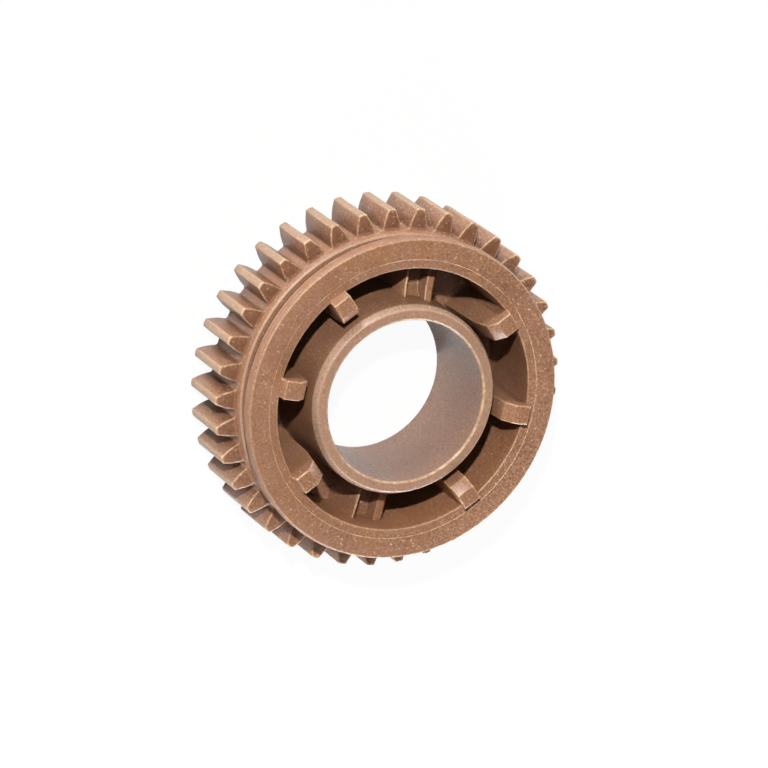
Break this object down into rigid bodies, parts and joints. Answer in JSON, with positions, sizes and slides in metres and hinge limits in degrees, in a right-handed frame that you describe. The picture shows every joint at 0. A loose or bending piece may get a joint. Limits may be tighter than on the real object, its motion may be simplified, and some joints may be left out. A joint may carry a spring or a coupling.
{
  "type": "toothed gear",
  "caption": "One-piece moulded spur gear with an open drum above its teeth, a wide central bore, drive lugs round the inside of the rim and two spokes.",
  "frame": {"origin": "centre of the bore at the back end face, on which the gear lies", "axes": "+Z along the bore axis, towards the lugs; +X through the middle of the lug that stands square to the two spokes, so the spokes lie on +Y and -Y"},
  "size_m": [0.0584, 0.0584, 0.018],
  "materials": {
    "gear": "satin"
  },
  "bodies": {
    "root": {"gear": "gear"}
  },
  "joints": []
}
